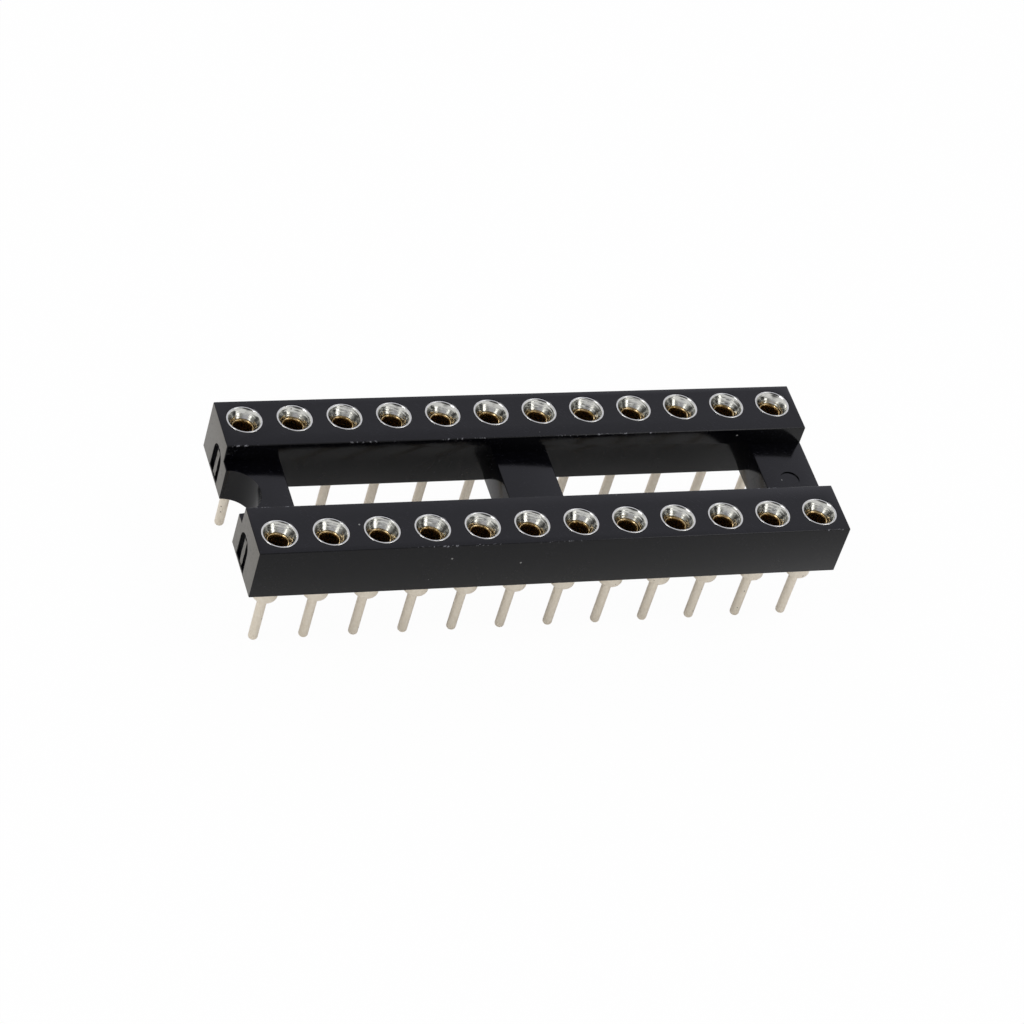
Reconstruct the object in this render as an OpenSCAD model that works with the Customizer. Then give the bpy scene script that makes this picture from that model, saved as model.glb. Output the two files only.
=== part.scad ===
// Turned-contact socket for a dual-in-line integrated circuit.
// Origin: on the board-side plane through the tips of the tails, midway between the rows and the ends.
// +X runs along the rows, away from the notched end. +Z is up, out of the contacts' mouths.
// Contact 1 is beside the notch in the -Y row, and the numbers run round the body from there.
// All lengths are in millimetres.

/* [Contact layout] */
// Contacts in each row
contacts_per_row = 12; // [6:1:14]
// Distance between neighbouring contacts of a row
pitch = 2.54; // [2.3:0.01:3]
// Distance between the two rows
row_spacing = 7.62; // [7:0.01:15.24]

/* [Moulded body] */
// Height of the rails
body_h = 3; // [2.6:0.1:4]
// From a contact's axis to the rail's outer wall
rail_outer = 1.27; // [1.1:0.01:2]
// From a contact's axis to the rail's inner wall
rail_inner = 1.78; // [1.1:0.01:2]
// From the last contact's axis to the rail's end
rail_end = 1.27; // [1.1:0.01:2.5]
// Radius along the rails' long edges
edge_r = 0.08; // [0.02:0.01:0.12]
// Width of each crossbar along the rails
bar_w = 2.85; // [2:0.05:3.5]
// Height of the crossbars, from the underside of the rails
bar_h = 1.95; // [1:0.05:2.5]
// Radius of the polarity notch in the outer side of the left crossbar
notch_r = 1.43; // [0.8:0.01:1.7]
// Chamfer where each contact's hole leaves the underside
exit_chamfer = 0.1; // [0.02:0.02:0.2]

/* [Gate recess in the left end of each rail] */
// Width of the arched recess
gate_w = 1.32; // [0.8:0.02:1.6]
// Height of the recess, from the underside to the top of its arch
gate_h = 2; // [1.6:0.05:2.4]
// Depth of the recess into the end face
gate_depth = 0.22; // [0.1:0.01:0.3]
// From the contacts' line inwards to the middle of the recess
gate_inset = 0.84; // [0:0.02:0.9]
// Width of the broken-off gate that is left standing in the recess
vestige_w = 0.36; // [0.2:0.02:0.6]
// Height of the broken-off gate, from the underside
vestige_h = 1.7; // [1:0.05:1.9]
// How far its face stays below the end face
vestige_below = 0.06; // [0.02:0.01:0.09]

/* [Turned sleeve] */
// Diameter of the head
head_d = 1.8; // [1.7:0.02:2]
// Height of the head, which is flush with the rails' top
head_h = 0.75; // [0.6:0.05:1.2]
// Chamfer round the head's top edge
head_chamfer = 0.03; // [0.01:0.01:0.05]
// Width of the flat rim round the funnel
rim_w = 0.09; // [0.05:0.01:0.15]
// Depth of the funnel below the rim
funnel_depth = 0.5; // [0.3:0.05:0.7]
// Bore that holds the clip
bore_d = 1.12; // [1:0.02:1.14]
// Depth of the bore's full diameter below the rim
bore_depth = 3.2; // [2.6:0.1:3.4]
// Point angle of the drill that made the bore
drill_angle = 118; // [90:2:140]
// Diameter of the barrel
barrel_d = 1.32; // [1.28:0.02:1.5]
// How far the barrel stands out under the body
barrel_out = 1.3; // [0.9:0.05:2]
// Rounding at the barrel's lower edge
barrel_round = 0.24; // [0.1:0.02:0.3]
// Diameter of the ring that locks the sleeve in the body
barb_d = 1.46; // [1.4:0.02:1.6]
// Height of the locking ring's full diameter
barb_land = 0.15; // [0.1:0.05:0.3]
// Height of the locking ring's taper, which leads it in
barb_taper = 0.25; // [0.1:0.05:0.4]
// From the underside of the body up to the locking ring's taper
barb_up = 1.1; // [0.5:0.1:1.2]
// Diameter of the solder tail
tail_d = 0.48; // [0.4:0.02:0.6]
// Length of the solder tail
tail_len = 3; // [2:0.1:5]
// Rounding at the tip of the tail
tip_round = 0.16; // [0.06:0.02:0.18]

/* [Inner clip] */
// Thickness of the clip's spring sheet
clip_wall = 0.1; // [0.06:0.01:0.12]
// Height of the clip's unslotted collar
collar_h = 0.55; // [0.3:0.05:0.8]
// Length of the fingers down to where they grip
finger_len = 1.25; // [0.8:0.05:1.4]
// Opening between the fingers where they grip
grip_d = 0.38; // [0.3:0.02:0.5]
// Length of the fingers' ends, which open out again
flare_len = 0.2; // [0.1:0.05:0.3]
// How far the fingers' ends open out
flare_out = 0.05; // [0.02:0.01:0.08]
// Fingers of each clip
fingers = 4; // [4:2:6]
// Width of the slots between the fingers
slot_w = 0.12; // [0.06:0.02:0.14]

/* [Fits] */
// Gap all round between a sleeve and its hole in the body
sleeve_gap = 0.01; // [0.005:0.005:0.02]
// Gap all round between a clip's collar and the sleeve's bore
clip_gap = 0.01; // [0.005:0.005:0.02]

/* [Hidden] */
$fn = 64;
contacts = 2 * contacts_per_row;
rail_w = rail_outer + rail_inner;
rail_l = (contacts_per_row - 1) * pitch + 2 * rail_end;
inner_wall_y = row_spacing / 2 - rail_inner;
shoulder_z = tail_len;
underside_z = shoulder_z + barrel_out;
top_z = underside_z + body_h;
barb_z = underside_z + barb_up;
head_z = top_z - head_h;
funnel_z = top_z - funnel_depth;
bore_floor_z = top_z - bore_depth;
drill_point_h = bore_d / 2 / tan(drill_angle / 2);
clip_r = bore_d / 2 - clip_gap;
join = 0.01; // how far a cut or a joined shape runs past the face that it meets

function two_digits(n) = str(n < 10 ? "0" : "", n);
SLEEVES = [for (i = [1 : contacts]) str("sleeve_", two_digits(i))];
CLIPS = [for (i = [1 : contacts]) str("clip_", two_digits(i))];

// Contact i, counted from 0: along the front row, then back along the rear row.
function in_front(i) = i < contacts_per_row;
function column(i) = in_front(i) ? i : contacts - 1 - i;
function contact_place(i) = [
    (column(i) - (contacts_per_row - 1) / 2) * pitch,
    (in_front(i) ? -1 : 1) * row_spacing / 2,
    0
];

// ---- Moulded body: two rails joined by three crossbars, in one shot of black thermoplastic ----

// Section of the rail on the +Y side: its inner wall at x = 0, its underside at y = 0.
module rail_section() {
    square([rail_w - edge_r, body_h - edge_r]);
    translate([edge_r, 0]) square([rail_w - 2 * edge_r, body_h]);
    translate([0, edge_r]) square([rail_w, body_h - 2 * edge_r]);
    translate([edge_r, body_h - edge_r]) circle(edge_r);
    translate([rail_w - edge_r, body_h - edge_r]) circle(edge_r);
    translate([rail_w - edge_r, edge_r]) circle(edge_r);
}

// Two joined rails, mirrored about the middle plane.
module rails() {
    for (side = [0, 1]) mirror([0, side, 0])
        translate([-rail_l / 2, inner_wall_y, underside_z])
            rotate([90, 0, 90]) linear_extrude(rail_l) rail_section();
}

// Crossbars flush with both ends of the rails, and one in the middle.
module crossbars() {
    for (x = [-rail_l / 2, -bar_w / 2, rail_l / 2 - bar_w])
        translate([x, -inner_wall_y - join, underside_z])
            cube([bar_w, 2 * (inner_wall_y + join), bar_h]);
}

// Stepped hole of one contact: head pocket, shank and the groove that the locking ring presses in.
module contact_hole() {
    rotate_extrude() {
        translate([0, underside_z - join])
            square([barrel_d / 2 + sleeve_gap, body_h]);
        translate([0, head_z])
            square([head_d / 2 + sleeve_gap, head_h + join]);
        barb_outline(sleeve_gap);
        polygon([
            [0, underside_z - join],
            [barrel_d / 2 + sleeve_gap + exit_chamfer + join, underside_z - join],
            [barrel_d / 2 + sleeve_gap, underside_z + exit_chamfer],
            [0, underside_z + exit_chamfer]
        ]);
    }
}

// Arched recess, open at the underside, with the broken gate standing in it.
module gate_recess() {
    arch_z = gate_h - gate_w / 2;
    rotate([90, 0, 90]) linear_extrude(gate_depth + join) {
        translate([-gate_w / 2, -join]) square([gate_w, arch_z + join]);
        translate([0, arch_z]) circle(gate_w / 2);
    }
}

module gate_vestige() {
    translate([0, -vestige_w / 2, 0])
        cube([gate_depth - vestige_below + join, vestige_w, vestige_h]);
}

module body() {
    color([0.12, 0.12, 0.14]) {
        difference() {
            union() {
                rails();
                crossbars();
            }
            for (i = [0 : contacts - 1]) translate(contact_place(i)) contact_hole();
            translate([-rail_l / 2, 0, underside_z - join])
                cylinder(r = notch_r, h = bar_h + 2 * join);
            for (side = [-1, 1])
                translate([-rail_l / 2 - join, side * (row_spacing / 2 - gate_inset), underside_z])
                    gate_recess();
        }
        for (side = [-1, 1])
            translate([
                -rail_l / 2 + vestige_below,
                side * (row_spacing / 2 - gate_inset),
                underside_z
            ]) gate_vestige();
    }
}

// ---- Turned sleeve: head, barrel and solder tail, bored from above ----

// Half outline of a bar of radius r with a rounded lower edge, standing on y = 0.
module rounded_bar(r, h, round) {
    square([r - round, h]);
    translate([0, round]) square([r, h - round]);
    translate([r - round, round]) intersection() {
        circle(round);
        translate([0, -round]) square(round);
    }
}

// Half outline of the locking ring: tapered below, square above.
module barb_outline(gap) {
    polygon([
        [0, barb_z],
        [barrel_d / 2 + gap, barb_z],
        [barb_d / 2 + gap, barb_z + barb_taper],
        [barb_d / 2 + gap, barb_z + barb_taper + barb_land],
        [0, barb_z + barb_taper + barb_land]
    ]);
}

module sleeve_outline() {
    rounded_bar(tail_d / 2, shoulder_z + barrel_round, tip_round);
    translate([0, shoulder_z])
        rounded_bar(barrel_d / 2, head_z - shoulder_z + join, barrel_round);
    barb_outline(0);
    polygon([
        [0, head_z],
        [head_d / 2, head_z],
        [head_d / 2, top_z - head_chamfer],
        [head_d / 2 - head_chamfer, top_z],
        [0, top_z]
    ]);
}

// Funnel, bore and the cone that the drill leaves at its end.
module bore_outline() {
    mouth_r = head_d / 2 - rim_w;
    rise = (mouth_r - bore_d / 2) * join / funnel_depth;
    polygon([
        [0, bore_floor_z - drill_point_h],
        [bore_d / 2, bore_floor_z],
        [bore_d / 2, funnel_z],
        [mouth_r + rise, top_z + join],
        [0, top_z + join]
    ]);
}

module sleeve() {
    color([0.78, 0.76, 0.7])
        rotate_extrude() difference() {
            sleeve_outline();
            bore_outline();
        }
}

// ---- Inner clip: stamped spring sheet, rolled round, with fingers that grip the lead ----

module clip_outline() {
    collar_z = funnel_z - collar_h;
    grip_z = collar_z - finger_len;
    end_z = grip_z - flare_len;
    grip_r = grip_d / 2;
    lip_r = clip_wall / 2;
    polygon([
        [clip_r - clip_wall, funnel_z - lip_r],
        [clip_r - clip_wall, collar_z],
        [grip_r, grip_z],
        [grip_r + flare_out, end_z],
        [grip_r + flare_out + clip_wall, end_z],
        [grip_r + clip_wall, grip_z],
        [clip_r, collar_z],
        [clip_r, funnel_z - lip_r]
    ]);
    translate([clip_r - lip_r, funnel_z - lip_r]) circle(lip_r);
}

module clip() {
    slot_h = finger_len + flare_len;
    color([0.85, 0.66, 0.28])
        difference() {
            rotate_extrude() clip_outline();
            for (k = [0 : fingers / 2 - 1])
                rotate(k * 360 / fingers + 180 / fingers)
                    translate([-bore_d / 2, -slot_w / 2, funnel_z - collar_h - slot_h - join])
                        cube([bore_d, slot_w, slot_h + join]);
        }
}

body();
for (i = [0 : contacts - 1]) {
    translate(contact_place(i)) sleeve();
    translate(contact_place(i)) clip();
}
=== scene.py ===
# Dual-in-line ic socket with 24 turned contacts: its looks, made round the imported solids.
# Lengths are written in millimetres, and each finished mesh is brought to metres.
import math
import random

import bmesh
import bpy
from mathutils import Euler, Matrix, Vector


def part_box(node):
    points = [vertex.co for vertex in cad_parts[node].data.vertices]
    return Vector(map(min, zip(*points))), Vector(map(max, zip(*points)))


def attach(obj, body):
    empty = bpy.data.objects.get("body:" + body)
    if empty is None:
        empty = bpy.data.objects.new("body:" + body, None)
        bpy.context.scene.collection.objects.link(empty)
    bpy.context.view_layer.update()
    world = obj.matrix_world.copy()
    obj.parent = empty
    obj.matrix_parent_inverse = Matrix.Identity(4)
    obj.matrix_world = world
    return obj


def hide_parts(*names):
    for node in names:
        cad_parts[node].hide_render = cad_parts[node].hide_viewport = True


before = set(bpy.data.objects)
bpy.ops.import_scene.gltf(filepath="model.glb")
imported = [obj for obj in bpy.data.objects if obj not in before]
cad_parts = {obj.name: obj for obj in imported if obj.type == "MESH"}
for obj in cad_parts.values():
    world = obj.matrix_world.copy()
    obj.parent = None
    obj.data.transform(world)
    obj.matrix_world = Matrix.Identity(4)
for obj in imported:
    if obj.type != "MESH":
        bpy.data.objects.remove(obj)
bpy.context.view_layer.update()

# ---------------------------------------------------------------------------------------------
# Moulded body
# Two rails joined by three crossbars, one shot of black glass-filled polyester from a polished
# steel mould. It is filled through two gates in the left end, which leave a broken stub each.
# ---------------------------------------------------------------------------------------------
MM = 0.001
RAIL_INNER = 1.78
BAR_W = 2.85
BAR_H = 1.95
NOTCH_R = 1.43
HEAD_POCKET_R = 0.91
HEAD_POCKET_DEEP = 0.75
SHANK_HOLE_R = 0.67
LOCK_GROOVE_R = 0.74
LOCK_GROOVE_UP = (1.1, 1.35, 1.5)
EXIT_CHAMFER = 0.1
GATE_W = 1.32
GATE_H = 2.0
GATE_UP = 0.14
GATE_DEEP = 0.14
GATE_INSET = 0.84
STUB_W = 0.36
STUB_H = 1.7
STUB_BELOW = 0.04
EDGE_R = 0.05
POCKET_EDGE = 0.025
MARK_R = 0.5
MARK_DEEP = 0.06
PAST = 0.5

body_lo, body_hi = (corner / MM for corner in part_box("body"))
contact_axes = []
for number in range(1, 25):
    sleeve_lo, sleeve_hi = (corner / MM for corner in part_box(f"sleeve_{number:02d}"))
    contact_axes.append((sleeve_lo + sleeve_hi) / 2 * Vector((1, 1, 0)))
row_y = abs(contact_axes[0].y)
inner_y = row_y - RAIL_INNER
bar_top = body_lo.z + BAR_H
random.seed(24)


def add_block(shape, low, high):
    """Adds a box between two corners and returns its vertices."""
    low, high = Vector(low), Vector(high)
    place = Matrix.Translation((low + high) / 2) @ Matrix.Diagonal((*(high - low), 1))
    return bmesh.ops.create_cube(shape, size=1, matrix=place)["verts"]


def add_prism(shape, corners, pull):
    """Adds the solid that a flat face with these corners sweeps along pull."""
    face = shape.faces.new([shape.verts.new(corner) for corner in corners])
    pulled = bmesh.ops.extrude_face_region(shape, geom=[face])["geom"]
    bmesh.ops.translate(
        shape, vec=pull, verts=[item for item in pulled if isinstance(item, bmesh.types.BMVert)],
    )


def arc(middle, radius, start, end, count):
    """Points of an arc in a plane, from the start angle to the end angle, in degrees."""
    turns = [math.radians(start + (end - start) * step / count) for step in range(count + 1)]
    return [(middle[0] + radius * math.cos(a), middle[1] + radius * math.sin(a)) for a in turns]


def add_turned(shape, outline, steps):
    """Spins an outline of (radius, height) points once round the Z axis of an empty shape."""
    along = shape.verts.layers.float.get("along") or shape.verts.layers.float.new("along")
    points = []
    length = 0.0
    for index, (radius, height) in enumerate(outline):
        if index:
            length += math.dist(outline[index - 1], (radius, height))
        points.append(shape.verts.new((radius, 0, height)))
        points[-1][along] = length
    sides = [shape.edges.new(pair) for pair in zip(points, points[1:])]
    bmesh.ops.spin(
        shape, geom=points + sides, cent=(0, 0, 0), axis=(0, 0, 1),
        angle=math.tau, steps=steps, use_merge=True,
    )
    bmesh.ops.remove_doubles(shape, verts=shape.verts, dist=1e-5)
    bmesh.ops.recalc_face_normals(shape, faces=shape.faces)


def add_copies(shape, part, places):
    """Adds a copy of part to shape at each of the places, which are matrices."""
    mesh = bpy.data.meshes.new("copy")
    part.to_mesh(mesh)
    for place in places:
        known = set(shape.verts)
        shape.from_mesh(mesh)
        fresh = [vertex for vertex in shape.verts if vertex not in known]
        bmesh.ops.transform(shape, matrix=place, verts=fresh)
    bpy.data.meshes.remove(mesh)


def cut(solid, tool):
    """Returns solid with the shapes in tool taken out of it. Both are used up."""
    made = []
    for shape in (solid, tool):
        bmesh.ops.recalc_face_normals(shape, faces=shape.faces)
        mesh = bpy.data.meshes.new("cut")
        shape.to_mesh(mesh)
        shape.free()
        made.append(bpy.data.objects.new("cut", mesh))
        bpy.context.scene.collection.objects.link(made[-1])
    boolean = made[0].modifiers.new("cut", "BOOLEAN")
    boolean.operation = "DIFFERENCE"
    boolean.solver = "MANIFOLD"
    boolean.object = made[1]
    left = bmesh.new()
    left.from_object(made[0], bpy.context.evaluated_depsgraph_get())
    for item in made:
        mesh = item.data
        bpy.data.objects.remove(item)
        bpy.data.meshes.remove(mesh)
    bmesh.ops.remove_doubles(left, verts=left.verts, dist=1e-4)
    return left


def finish_piece(shape, name, finish, stands_for):
    """Turns a shape into a smooth-shaded object in metres, which rides on the one body."""
    for face in shape.faces:
        face.smooth = True
    for edge in shape.edges:
        edge.smooth = edge.is_manifold and edge.calc_face_angle(0) < math.radians(35)
    bmesh.ops.scale(shape, vec=(MM, MM, MM), verts=shape.verts)
    mesh = bpy.data.meshes.new(name)
    shape.to_mesh(mesh)
    shape.free()
    mesh.materials.append(finish)
    piece = bpy.data.objects.new(name, mesh)
    bpy.context.scene.collection.objects.link(piece)
    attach(piece, "root")
    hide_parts(stands_for)
    return piece


# The rails and bars: the channel over the bars and the two windows are one comb-shaped cut.
body = bmesh.new()
add_block(body, body_lo, body_hi)
comb = bmesh.new()
low, high = body_lo.z - PAST, body_hi.z + PAST
outer_x, bar_x, middle_x = body_hi.x + PAST, body_hi.x - BAR_W, BAR_W / 2
corners = [(-outer_x, high), (-outer_x, bar_top)]
for left_x, right_x in ((-bar_x, -middle_x), (middle_x, bar_x)):
    corners += [(left_x, bar_top), (left_x, low), (right_x, low), (right_x, bar_top)]
corners += [(outer_x, bar_top), (outer_x, high)]
add_prism(comb, [(x, -inner_y, z) for x, z in corners], (0, 2 * inner_y, 0))
body = cut(body, comb)

# Polarity notch in the left bar, and the arched gate recesses with the broken stub in each.
recesses = bmesh.new()
bmesh.ops.create_cone(
    recesses, cap_ends=True, segments=96, radius1=NOTCH_R, radius2=NOTCH_R, depth=4,
    matrix=Matrix.Translation((body_lo.x, 0, bar_top - 1)),
)
arch_z = body_lo.z + GATE_H - GATE_W / 2
stub_face_x = body_lo.x + STUB_BELOW
for side in (-1, 1):
    middle_y = side * (row_y - GATE_INSET)
    arch = bmesh.new()
    half_w = GATE_W / 2
    outline = [(middle_y + half_w, body_lo.z + GATE_UP)]
    outline += arc((middle_y, arch_z), half_w, 0, 180, 24)
    outline += [(middle_y - half_w, body_lo.z + GATE_UP)]
    add_prism(arch, [(body_lo.x - PAST, y, z) for y, z in outline], (PAST + GATE_DEEP, 0, 0))
    stub = bmesh.new()
    add_block(
        stub,
        (stub_face_x, middle_y - STUB_W / 2, body_lo.z),
        (body_lo.x + 2 * GATE_DEEP, middle_y + STUB_W / 2, body_lo.z + STUB_H),
    )
    bmesh.ops.subdivide_edges(stub, edges=stub.edges, cuts=7, use_grid_fill=True)
    for vertex in stub.verts:
        if vertex.co.x < stub_face_x + 1e-4:
            vertex.co.x += random.uniform(0.0, 0.03)
            vertex.co.z += random.uniform(-0.03, 0.0)
    recess = cut(arch, stub)
    add_copies(recesses, recess, [Matrix.Identity(4)])
    recess.free()
body = cut(body, recesses)

# The mould's edges are all slightly round.
bmesh.ops.dissolve_limit(
    body, angle_limit=math.radians(1), verts=body.verts, edges=body.edges,
)
sharp = [
    edge for edge in body.edges
    if edge.is_manifold and edge.calc_face_angle(0) > math.radians(50) and edge.is_convex
    and edge.calc_length() > 0.3
]
bmesh.ops.bevel(
    body, geom=sharp, offset=EDGE_R, offset_type="OFFSET", segments=3, profile=0.5,
    affect="EDGES", material=-1, clamp_overlap=False,
)
bmesh.ops.remove_doubles(body, verts=body.verts, dist=1e-4)

# Stepped hole of each contact, open at both ends, with its rim broken slightly.
top, floor_z = body_hi.z, body_lo.z
hole = bmesh.new()
add_turned(hole, [
    (0, floor_z - PAST),
    (SHANK_HOLE_R + EXIT_CHAMFER + PAST, floor_z - PAST),
    (SHANK_HOLE_R, floor_z + EXIT_CHAMFER),
    (SHANK_HOLE_R, floor_z + LOCK_GROOVE_UP[0]),
    (LOCK_GROOVE_R, floor_z + LOCK_GROOVE_UP[1]),
    (LOCK_GROOVE_R, floor_z + LOCK_GROOVE_UP[2]),
    (SHANK_HOLE_R, floor_z + LOCK_GROOVE_UP[2]),
    (SHANK_HOLE_R, top - HEAD_POCKET_DEEP),
    (HEAD_POCKET_R, top - HEAD_POCKET_DEEP),
    (HEAD_POCKET_R, top - POCKET_EDGE),
    (HEAD_POCKET_R + POCKET_EDGE + PAST, top + PAST),
    (0, top + PAST),
], 64)
holes = bmesh.new()
add_copies(holes, hole, [Matrix.Translation(axis) for axis in contact_axes])
hole.free()

# A plain round ejector mark sunk in the right bar.
bmesh.ops.create_cone(
    holes, cap_ends=True, segments=48, radius1=MARK_R, radius2=MARK_R, depth=2 * MARK_DEEP,
    matrix=Matrix.Translation((body_hi.x - BAR_W / 2, -MARK_R, bar_top)),
)
body = cut(body, holes)


def linear(code):
    """A six-digit sRGB colour as the linear colour that shaders take."""
    parts = [int(code[start:start + 2], 16) / 255 for start in (0, 2, 4)]
    return (*(p / 12.92 if p <= 0.04045 else ((p + 0.055) / 1.055) ** 2.4 for p in parts), 1)


def add_node(tree, kind, inputs=None, **settings):
    """Adds a node: settings are its properties, and inputs are values or sockets to link."""
    made = tree.nodes.new("ShaderNode" + kind)
    for key, value in settings.items():
        setattr(made, key, value)
    for key, value in (inputs or {}).items():
        if isinstance(value, bpy.types.NodeSocket):
            tree.links.new(value, made.inputs[key])
        else:
            made.inputs[key].default_value = value
    return made


def new_finish(name):
    """A material with its node tree, and the shader to set."""
    finish = bpy.data.materials.new(name)
    finish.use_nodes = True
    return finish, finish.node_tree, finish.node_tree.nodes["Principled BSDF"]


# Glass-filled polyester off a polished mould: near-black and glossy, a little uneven where the
# glass lies under the skin. The spark-eroded ends are matt, and their grey colour is painted
# reflection that stands in for part of the bright table they mirror. Handling leaves fine scuffs,
# bruised edges and a few pale dust grains.
GRAIN = 0.07
FLOW = 1.6
SCUFF_LONG = 2.5
SCUFF_WIDE = 0.035
DUST_CELL = 0.9
BRUISE = 0.16

polyester, tree, shader = new_finish("black_glass_filled_polyester")
coords = add_node(tree, "TexCoord")
place = coords.outputs["Object"]
grain = add_node(tree, "TexNoise", {"Vector": place, "Scale": 1 / (GRAIN * MM), "Detail": 2})
flow = add_node(tree, "TexNoise", {"Vector": place, "Scale": 1 / (FLOW * MM), "Detail": 3})

# The body's two ends, which face along X.
at = add_node(tree, "SeparateXYZ", {0: place})
facing = add_node(tree, "SeparateXYZ", {0: coords.outputs["Normal"]})
end_on = add_node(tree, "Math", {0: facing.outputs["X"]}, operation="ABSOLUTE")
end_on = add_node(tree, "MapRange", {"Value": end_on.outputs[0], "From Min": 0.8, "From Max": 0.95})
far_out = add_node(tree, "Math", {0: at.outputs["X"]}, operation="ABSOLUTE")
far_out = add_node(tree, "MapRange", {
    "Value": far_out.outputs[0], "From Min": (body_hi.x - 0.8 * GATE_DEEP) * MM,
    "From Max": (body_hi.x - 0.6 * GATE_DEEP) * MM,
})
is_end = add_node(tree, "Math", {0: end_on.outputs[0], 1: far_out.outputs[0]}, operation="MULTIPLY")

# Fine scuffs run in two slanting directions.
scuffs = None
for turns in ((20, 35, 25), (-30, 20, -55)):
    slanted = add_node(tree, "Mapping", {
        "Vector": place, "Rotation": tuple(math.radians(turn) for turn in turns),
        "Scale": (SCUFF_LONG * MM, SCUFF_WIDE * MM, SCUFF_WIDE * MM * 4),
    }, vector_type="TEXTURE")
    lines = add_node(tree, "TexNoise", {"Vector": slanted.outputs[0], "Scale": 1, "Detail": 0})
    found = add_node(tree, "MapRange", {
        "Value": lines.outputs["Fac"], "From Min": 0.71, "From Max": 0.78, "To Max": 0.5,
    })
    scuffs = found if scuffs is None else add_node(
        tree, "Math", {0: scuffs.outputs[0], 1: found.outputs[0]}, operation="MAXIMUM",
    )

# Dust: a grain in a few of the cells of a random lattice.
cells = add_node(tree, "TexVoronoi", {"Vector": place, "Scale": 1 / (DUST_CELL * MM)})
near = add_node(tree, "MapRange", {
    "Value": cells.outputs["Distance"], "From Min": 0.035, "From Max": 0.07, "To Min": 1, "To Max": 0,
})
pick = add_node(tree, "SeparateColor", {0: cells.outputs["Color"]})
kept = add_node(tree, "Math", {0: pick.outputs[0], 1: 0.82}, operation="GREATER_THAN")
dust = add_node(tree, "Math", {0: near.outputs[0], 1: kept.outputs[0]}, operation="MULTIPLY")

# Bruises: patches of the rails' top edges, where both the rail's top and its wall are near.
across = add_node(tree, "Math", {0: at.outputs["Y"]}, operation="ABSOLUTE")
rail_middle = (inner_y + body_hi.y) / 2 * MM
rail_half = (body_hi.y - inner_y) / 2 * MM
off_middle = add_node(tree, "Math", {0: across.outputs[0], 1: rail_middle}, operation="SUBTRACT")
off_middle = add_node(tree, "Math", {0: off_middle.outputs[0]}, operation="ABSOLUTE")
wall_near = add_node(tree, "MapRange", {
    "Value": off_middle.outputs[0], "From Min": rail_half - 1.6 * EDGE_R * MM,
    "From Max": rail_half - 0.6 * EDGE_R * MM,
})
top_near = add_node(tree, "MapRange", {
    "Value": at.outputs["Z"], "From Min": (body_hi.z - 1.6 * EDGE_R) * MM,
    "From Max": (body_hi.z - 0.6 * EDGE_R) * MM,
})
patches = add_node(tree, "TexNoise", {"Vector": place, "Scale": 1 / (BRUISE * MM), "Detail": 3})
patches = add_node(tree, "MapRange", {"Value": patches.outputs["Fac"], "From Min": 0.55, "From Max": 0.66})
spread = add_node(tree, "TexNoise", {
    "Vector": place, "W": 3, "Scale": 1 / (3.5 * MM), "Detail": 0,
}, noise_dimensions="4D")
spread = add_node(tree, "MapRange", {"Value": spread.outputs["Fac"], "From Min": 0.46, "From Max": 0.56})
bruise = add_node(tree, "Math", {0: wall_near.outputs[0], 1: top_near.outputs[0]}, operation="MULTIPLY")
for factor in (patches, spread):
    bruise = add_node(tree, "Math", {0: bruise.outputs[0], 1: factor.outputs[0]}, operation="MULTIPLY")

# Near-black plastic. The ends' grey paints in part of their bright reflection of the table, while the
# scuffs, bruises and dust are the plastic's own marks.
colour = add_node(tree, "Mix", {
    "Factor": is_end.outputs[0], "A": linear("030306"), "B": linear("74716C"),
}, data_type="RGBA")
for mask, tone in ((scuffs, "1B1C22"), (bruise, "7C7C82"), (dust, "90908E")):
    colour = add_node(tree, "Mix", {
        "Factor": mask.outputs[0], "A": colour.outputs["Result"], "B": linear(tone),
    }, data_type="RGBA")
tree.links.new(colour.outputs["Result"], shader.inputs["Base Color"])
gloss = add_node(tree, "MapRange", {
    "Value": flow.outputs["Fac"], "From Min": 0.3, "From Max": 0.7, "To Min": 0.10, "To Max": 0.18,
})
for mask, rough in ((is_end, 0.45), (scuffs, 0.4), (bruise, 0.6), (dust, 0.8)):
    gloss = add_node(tree, "Mix", {"Factor": mask.outputs[0], "A": gloss.outputs[0], "B": rough})
tree.links.new(gloss.outputs[0], shader.inputs["Roughness"])
relief = add_node(tree, "Mix", {"Factor": 0.35, "A": grain.outputs["Fac"], "B": flow.outputs["Fac"]})
bump = add_node(tree, "Bump", {"Height": relief.outputs[0], "Strength": 0.25, "Distance": 0.004 * MM})
tree.links.new(bump.outputs[0], shader.inputs["Normal"])
shader.inputs["IOR"].default_value = 1.35
finish_piece(body, "socket_body", polyester, "body")

# ---------------------------------------------------------------------------------------------
# Turned sleeves
# Each contact's outer sleeve is turned from brass bar on an automatic lathe, bored and coned at
# the top, then plated with bright tin. It is pressed into the body and held by its locking ring.
# ---------------------------------------------------------------------------------------------
TAIL_R = 0.24
TIP_ROUND = 0.16
SHOULDER_Z = 3.0
SHOULDER_EASE = 0.03
BARREL_R = 0.66
BARREL_ROUND = 0.24
LOCK_RING_R = 0.73
HEAD_R = 0.9
HEAD_H = 0.75
HEAD_EDGE = 0.03
RIM_W = 0.09
RIM_ROUND = 0.035
FUNNEL_DEEP = 0.5
BORE_R = 0.56
BORE_DEEP = 3.2
DRILL_POINT = 0.336


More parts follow.
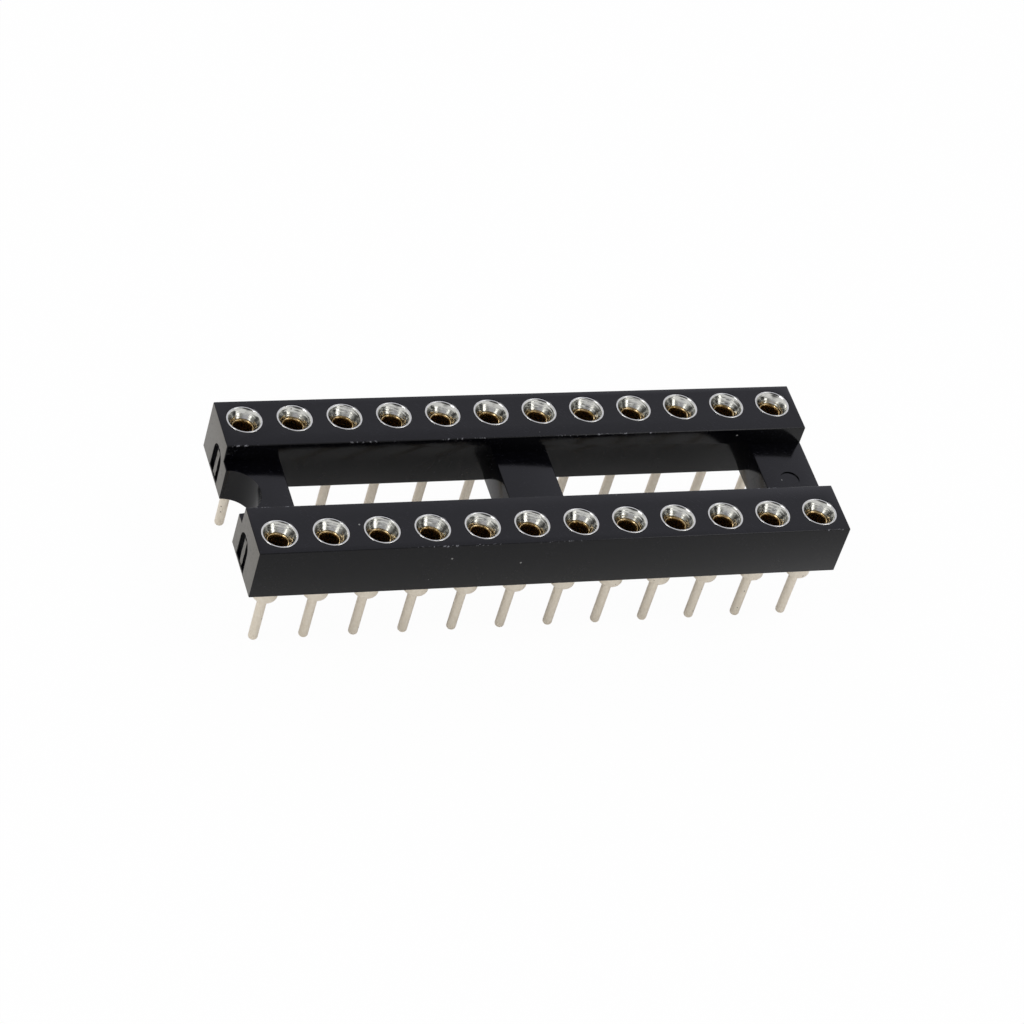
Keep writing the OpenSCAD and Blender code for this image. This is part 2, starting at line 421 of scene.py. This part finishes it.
def sleeve_outline():
    """Half outline of a sleeve, from the middle of its tip to the end of its bore."""
    mouth_r = HEAD_R - RIM_W
    funnel_z = top - FUNNEL_DEEP
    outline = [(0, 0)]
    outline += arc((TAIL_R - TIP_ROUND, TIP_ROUND), TIP_ROUND, -90, 0, 6)
    outline += [
        (TAIL_R, SHOULDER_Z / 2),
        (TAIL_R, SHOULDER_Z - SHOULDER_EASE),
        (TAIL_R + SHOULDER_EASE, SHOULDER_Z),
    ]
    outline += arc((BARREL_R - BARREL_ROUND, SHOULDER_Z + BARREL_ROUND), BARREL_ROUND, -90, 0, 8)
    outline += [
        (BARREL_R, floor_z),
        (BARREL_R, floor_z + LOCK_GROOVE_UP[0]),
        (LOCK_RING_R, floor_z + LOCK_GROOVE_UP[1]),
        (LOCK_RING_R, floor_z + LOCK_GROOVE_UP[2]),
        (BARREL_R, floor_z + LOCK_GROOVE_UP[2]),
        (BARREL_R, top - HEAD_H),
        (HEAD_R, top - HEAD_H),
    ]
    outline += arc((HEAD_R - HEAD_EDGE, top - HEAD_EDGE), HEAD_EDGE, 0, 90, 3)
    outline += arc((mouth_r + RIM_ROUND, top - RIM_ROUND), RIM_ROUND, 90, 153, 4)
    grooves = [
        (random.uniform(0.15, 0.45), random.uniform(0.002, 0.007)),
        (random.uniform(0.55, 0.85), random.uniform(0.002, 0.007)),
    ]
    bow = random.uniform(-0.02, 0.015)
    count = 24
    for step in range(2, count + 1):
        share = step / count
        wave = random.uniform(-0.0004, 0.0004) + bow * math.sin(math.pi * share)
        wave += sum(deep * math.exp(-((share - place) / 0.05) ** 2) for place, deep in grooves)
        wave = wave if step < count else 0
        outline.append((mouth_r + (BORE_R - mouth_r) * share + wave, top - FUNNEL_DEEP * share))
    outline += [
        (BORE_R, funnel_z - 0.3),
        (BORE_R, top - BORE_DEEP),
        (0, top - BORE_DEEP - DRILL_POINT),
    ]
    return outline


def unroll(shape):
    """Gives a turned shape its UV map: turns round the axis, and millimetres along the outline."""
    along = shape.verts.layers.float["along"]
    sheet = shape.loops.layers.uv.new("turning")
    for face in shape.faces:
        turns = [math.atan2(loop.vert.co.y, loop.vert.co.x) / math.tau for loop in face.loops]
        middle = face.calc_center_median()
        centre = math.atan2(middle.y, middle.x) / math.tau
        for loop, turn in zip(face.loops, turns):
            if loop.vert.co.xy.length < 1e-4:
                turn = centre
            turn += round(centre - turn)
            loop[sheet].uv = (turn, loop.vert[along])


# Bright tin over turned brass: silver and shiny in the funnel, where the tool's rings spread the
# light across them, and dull and creamy on the tail and barrel, with a few dark pores.
RING = 0.05
MOTTLE = 0.16
PORE_CELL = 0.3

tin, tree, shader = new_finish("bright_tin_on_turned_brass")
place = add_node(tree, "TexCoord").outputs["Object"]
sheet = add_node(tree, "UVMap", uv_map="turning")
unrolled = add_node(tree, "SeparateXYZ", {0: sheet.outputs[0]})
below = add_node(tree, "SeparateXYZ", {0: place})
dull = add_node(tree, "MapRange", {
    "Value": below.outputs["Z"], "From Min": floor_z * MM, "From Max": (floor_z + 0.3) * MM,
    "To Min": 1, "To Max": 0,
})
rings = add_node(tree, "TexNoise", {
    "W": unrolled.outputs["Y"], "Scale": 1 / RING, "Detail": 1,
}, noise_dimensions="1D")
mottle = add_node(tree, "TexNoise", {"Vector": place, "Scale": 1 / (MOTTLE * MM), "Detail": 3})
pores = add_node(tree, "TexVoronoi", {"Vector": place, "Scale": 1 / (PORE_CELL * MM)})
near = add_node(tree, "MapRange", {
    "Value": pores.outputs["Distance"], "From Min": 0.06, "From Max": 0.16, "To Min": 1, "To Max": 0,
})
pick = add_node(tree, "SeparateColor", {0: pores.outputs["Color"]})
kept = add_node(tree, "Math", {0: pick.outputs[0], 1: 0.9}, operation="GREATER_THAN")
pore = add_node(tree, "Math", {0: near.outputs[0], 1: kept.outputs[0]}, operation="MULTIPLY")
bright = add_node(tree, "Mix", {
    "Factor": mottle.outputs["Fac"], "A": linear("B2B4B2"), "B": linear("E4E2DC"),
}, data_type="RGBA")
creamy = add_node(tree, "Mix", {
    "Factor": mottle.outputs["Fac"], "A": linear("E8DCC8"), "B": linear("FBF3E6"),
}, data_type="RGBA")
colour = add_node(tree, "Mix", {
    "Factor": dull.outputs[0], "A": bright.outputs["Result"], "B": creamy.outputs["Result"],
}, data_type="RGBA")
colour = add_node(tree, "Mix", {
    "Factor": pore.outputs[0], "A": colour.outputs["Result"], "B": linear("5C5248"),
}, data_type="RGBA")
tree.links.new(colour.outputs["Result"], shader.inputs["Base Color"])
gloss = add_node(tree, "MapRange", {
    "Value": mottle.outputs["Fac"], "From Min": 0.3, "From Max": 0.7, "To Min": 0.11, "To Max": 0.23,
})
gloss = add_node(tree, "Mix", {"Factor": dull.outputs[0], "A": gloss.outputs[0], "B": 0.5})
tree.links.new(gloss.outputs[0], shader.inputs["Roughness"])
fine = add_node(tree, "Bump", {"Height": rings.outputs["Fac"], "Strength": 0.2, "Distance": 0.003 * MM})
bump = add_node(tree, "Bump", {
    "Height": mottle.outputs["Fac"], "Strength": 0.3, "Distance": 0.006 * MM, "Normal": fine.outputs[0],
})
tree.links.new(bump.outputs[0], shader.inputs["Normal"])
metal = add_node(tree, "MapRange", {"Value": dull.outputs[0], "To Min": 1, "To Max": 0.6})
tree.links.new(metal.outputs[0], shader.inputs["Metallic"])

for number, axis in enumerate(contact_axes, start=1):
    sleeve = bmesh.new()
    add_turned(sleeve, sleeve_outline(), 64)
    unroll(sleeve)
    bmesh.ops.translate(sleeve, vec=axis, verts=sleeve.verts)
    finish_piece(sleeve, f"turned_sleeve_{number:02d}", tin, f"sleeve_{number:02d}")

# ---------------------------------------------------------------------------------------------
# Inner clips
# A spring sheet of beryllium copper is stamped with four fingers, rolled round, gilded and
# pushed into each sleeve's bore, where its collar sits just under the funnel.
# ---------------------------------------------------------------------------------------------
CLIP_R = 0.55
CLIP_WALL = 0.1
COLLAR_H = 0.55
FINGER_LEN = 1.25
GRIP_R = 0.19
FLARE_LEN = 0.2
FLARE_OUT = 0.05
SLOT_W = 0.12
LIP_EDGE = 0.02
LIP_DEEP = 0.25

lip_z = top - FUNNEL_DEEP
collar_z = lip_z - COLLAR_H
grip_z = collar_z - FINGER_LEN
end_z = grip_z - FLARE_LEN
outline = [
    (CLIP_R, lip_z - LIP_EDGE),
    (CLIP_R, collar_z),
    (GRIP_R + CLIP_WALL, grip_z),
    (GRIP_R + FLARE_OUT + CLIP_WALL, end_z),
    (GRIP_R + FLARE_OUT, end_z),
    (GRIP_R, grip_z),
    (CLIP_R - CLIP_WALL, collar_z),
]
for step in range(13):
    lean = math.radians(90 * step / 12)
    outline.append((
        CLIP_R - LIP_EDGE - (CLIP_WALL - LIP_EDGE) * math.cos(lean),
        lip_z - LIP_DEEP * (1 - math.sin(lean)),
    ))
clip = bmesh.new()
add_turned(clip, outline, 64)
for turn in (45, 135):
    bar = bmesh.new()
    add_block(bar, (-1, -SLOT_W / 2, end_z - PAST), (1, SLOT_W / 2, collar_z))
    quarter = Matrix.Rotation(math.radians(turn), 3, "Z")
    bmesh.ops.rotate(bar, cent=(0, 0, 0), matrix=quarter, verts=bar.verts)
    clip = cut(clip, bar)

# Flash gold over beryllium copper: pale and brassy where it is bright, and olive-brown in the
# patches where the thin gold has dulled.
DULL_PATCH = 0.16

gold, tree, shader = new_finish("thin_gold_on_beryllium_copper")
place = add_node(tree, "TexCoord").outputs["Object"]
patch = add_node(tree, "TexNoise", {"Vector": place, "Scale": 1 / (DULL_PATCH * MM), "Detail": 3})
worn = add_node(tree, "MapRange", {"Value": patch.outputs["Fac"], "From Min": 0.4, "From Max": 0.62})
colour = add_node(tree, "Mix", {
    "Factor": worn.outputs[0], "A": linear("E4CA9C"), "B": linear("8A7346"),
}, data_type="RGBA")
tree.links.new(colour.outputs["Result"], shader.inputs["Base Color"])
gloss = add_node(tree, "MapRange", {"Value": worn.outputs[0], "To Min": 0.16, "To Max": 0.34})
tree.links.new(gloss.outputs[0], shader.inputs["Roughness"])
bump = add_node(tree, "Bump", {"Height": patch.outputs["Fac"], "Strength": 0.3, "Distance": 0.01 * MM})
tree.links.new(bump.outputs[0], shader.inputs["Normal"])
shader.inputs["Metallic"].default_value = 1

for number, axis in enumerate(contact_axes, start=1):
    copy = bmesh.new()
    turned_by = Matrix.Rotation(math.radians(random.uniform(-20, 20)), 4, "Z")
    add_copies(copy, clip, [Matrix.Translation(axis) @ turned_by])
    finish_piece(copy, f"spring_clip_{number:02d}", gold, f"clip_{number:02d}")
clip.free()

# ---------------------------------------------------------------------------------------------
# Table top
# A plain white table under the tails, lit like the socket. A share of it glows, so that it reads
# white to the eye and pale in mirrors, and the rest keeps the socket's soft shadow.
# ---------------------------------------------------------------------------------------------
TABLE_R = 500
EYE_SHARE = 0.97
MIRROR_SHARE = 0.15

table = bmesh.new()
bmesh.ops.create_circle(table, cap_ends=True, segments=96, radius=TABLE_R)
bmesh.ops.translate(table, vec=(0, 0, -0.01), verts=table.verts)
bmesh.ops.scale(table, vec=(MM, MM, MM), verts=table.verts)
mesh = bpy.data.meshes.new("table_top")
table.to_mesh(mesh)
table.free()
table_top = bpy.data.objects.new("table_top", mesh)
bpy.context.scene.collection.objects.link(table_top)
laminate = bpy.data.materials.new("white_laminate")
laminate.use_nodes = True
tree = laminate.node_tree
tree.nodes.clear()
ray = add_node(tree, "LightPath")
seen = add_node(tree, "Math", {0: ray.outputs["Is Camera Ray"], 1: EYE_SHARE}, operation="MULTIPLY")
mirrored = add_node(
    tree, "Math", {0: ray.outputs["Is Glossy Ray"], 1: ray.outputs["Is Transmission Ray"]},
    operation="MAXIMUM",
)
share = add_node(
    tree, "Math", {0: mirrored.outputs[0], 1: MIRROR_SHARE, 2: seen.outputs[0]},
    operation="MULTIPLY_ADD", use_clamp=True,
)
tone = add_node(tree, "Mix", {
    "Factor": ray.outputs["Is Camera Ray"], "A": linear("F0F0EE"), "B": linear("FAFAFA"),
}, data_type="RGBA")
paint = add_node(tree, "BsdfDiffuse", {"Color": tone.outputs["Result"]})
glow = add_node(tree, "Emission", {"Color": linear("FFFFFF"), "Strength": 1})
mixed = add_node(tree, "MixShader", {0: share.outputs[0], 1: paint.outputs[0], 2: glow.outputs[0]})
add_node(tree, "OutputMaterial", {"Surface": mixed.outputs[0]})
mesh.materials.append(laminate)

# ---------------------------------------------------------------------------------------------
# Studio light
# A white room, bright round the sides and softer overhead, with a slightly blue panel behind on
# the right, the dark of the camera stand in front, and a softbox on either side.
# ---------------------------------------------------------------------------------------------
scene = bpy.context.scene
world = bpy.data.worlds.new("white_room")
scene.world = world
world.use_nodes = True
tree = world.node_tree
tree.nodes.clear()
direction = add_node(tree, "TexCoord").outputs["Generated"]


def toward(aim, start, full):
    """How much the world's direction lies toward aim: 0 up to the cosine start, 1 from full."""
    dot = add_node(tree, "VectorMath", {0: direction, 1: Vector(aim)}, operation="DOT_PRODUCT")
    return add_node(tree, "MapRange", {
        "Value": dot.outputs["Value"], "From Min": start, "From Max": full,
    }, interpolation_type="SMOOTHSTEP").outputs["Result"]


overhead = toward((0, 0, 1), 0.4, 0.72)
panel = toward((0.346, 0.640, 0.686), 0.72, 0.92)
stand = toward((-0.34, -0.64, 0.69), 0.84, 0.94)
room = add_node(tree, "Mix", {
    "Factor": overhead, "A": (0.92, 0.92, 0.92, 1), "B": (0.50, 0.50, 0.50, 1),
}, data_type="RGBA")
room = add_node(tree, "Mix", {
    "Factor": panel, "A": room.outputs["Result"], "B": (0.86, 0.86, 0.97, 1),
}, data_type="RGBA")
room = add_node(tree, "Mix", {
    "Factor": stand, "A": room.outputs["Result"], "B": (0.06, 0.06, 0.06, 1),
}, data_type="RGBA")
back = add_node(tree, "Background", {"Color": room.outputs["Result"], "Strength": 1})
add_node(tree, "OutputWorld", {"Surface": back.outputs[0]})


def add_lamp(name, azimuth, elevation, distance, size, power):
    """A square area lamp that looks at the socket. Azimuth 0 is in front, 90 on the right."""
    lamp = bpy.data.lights.new(name, "AREA")
    lamp.shape = "SQUARE"
    lamp.size = size * MM
    lamp.energy = power
    holder = bpy.data.objects.new(name, lamp)
    turn = Euler((math.radians(90 - elevation), 0, math.radians(azimuth)), "XYZ").to_matrix()
    holder.matrix_world = Matrix.Translation(turn @ Vector((0, 0, distance * MM))) @ turn.to_4x4()
    scene.collection.objects.link(holder)


add_lamp("left_softbox", azimuth=-80, elevation=48, distance=450, size=160, power=0.45)
add_lamp("right_softbox", azimuth=76, elevation=57, distance=450, size=140, power=0.25)

# ---------------------------------------------------------------------------------------------
# Camera
# A long lens from the front left, tipped so that the right end of the socket stands higher.
# ---------------------------------------------------------------------------------------------
VIEW_AZIMUTH = -28.40
VIEW_ELEVATION = 43.34
VIEW_ROLL = 18.09
VIEW_DISTANCE = 181.2
VIEW_TARGET = Vector((-1.17, -1.30, 5.47))
LENS = 129.97

camera = bpy.data.cameras.new("camera")
camera.lens = LENS
camera.sensor_width = 36
camera.clip_start = 10 * MM
camera.clip_end = 5
eye = bpy.data.objects.new("camera", camera)
turn = (
    Euler((math.radians(90 - VIEW_ELEVATION), 0, math.radians(VIEW_AZIMUTH)), "XYZ").to_matrix()
    @ Matrix.Rotation(math.radians(VIEW_ROLL), 3, "Z")
)
eye.matrix_world = Matrix.Translation(
    (VIEW_TARGET + turn @ Vector((0, 0, VIEW_DISTANCE))) * MM
) @ turn.to_4x4()
scene.collection.objects.link(eye)
scene.camera = eye
scene.view_settings.view_transform = "Standard"
